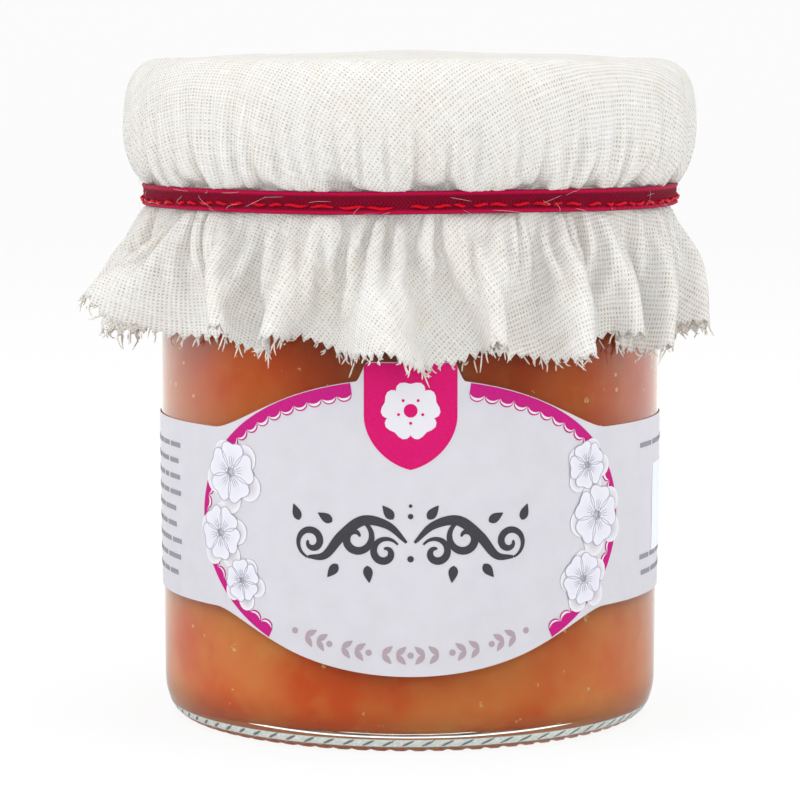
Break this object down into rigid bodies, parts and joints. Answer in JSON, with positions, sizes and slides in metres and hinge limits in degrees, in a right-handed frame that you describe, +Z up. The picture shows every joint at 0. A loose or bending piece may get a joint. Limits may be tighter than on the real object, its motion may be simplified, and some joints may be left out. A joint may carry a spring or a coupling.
{
  "type": "jam jar",
  "caption": "Straight glass jar of apricot jam with a paper label, a screwed lid and a round of cloth gathered over the lid by an elastic band.",
  "frame": {"origin": "on the jar's axis, in the plane that its foot ring stands on", "axes": "+Z up along the jar's axis; the middle of the label faces -Y; +X is to the right of someone reading the label"},
  "size_m": [0.1026, 0.1016, 0.1056],
  "materials": {
    "glass": "polished clear flint glass",
    "jam": "wet, translucent apricot jam",
    "lid": "gold lacquered tinplate",
    "label": "smooth coated label paper",
    "cloth": "unbleached plain-weave cotton muslin",
    "band": "braided elastic in crimson yarn"
  },
  "bodies": {
    "root": {"glass_jar": "glass", "jam": "jam", "lid": "lid", "label": "label", "cloth_cover": "cloth", "elastic_band": "band"}
  },
  "joints": []
}
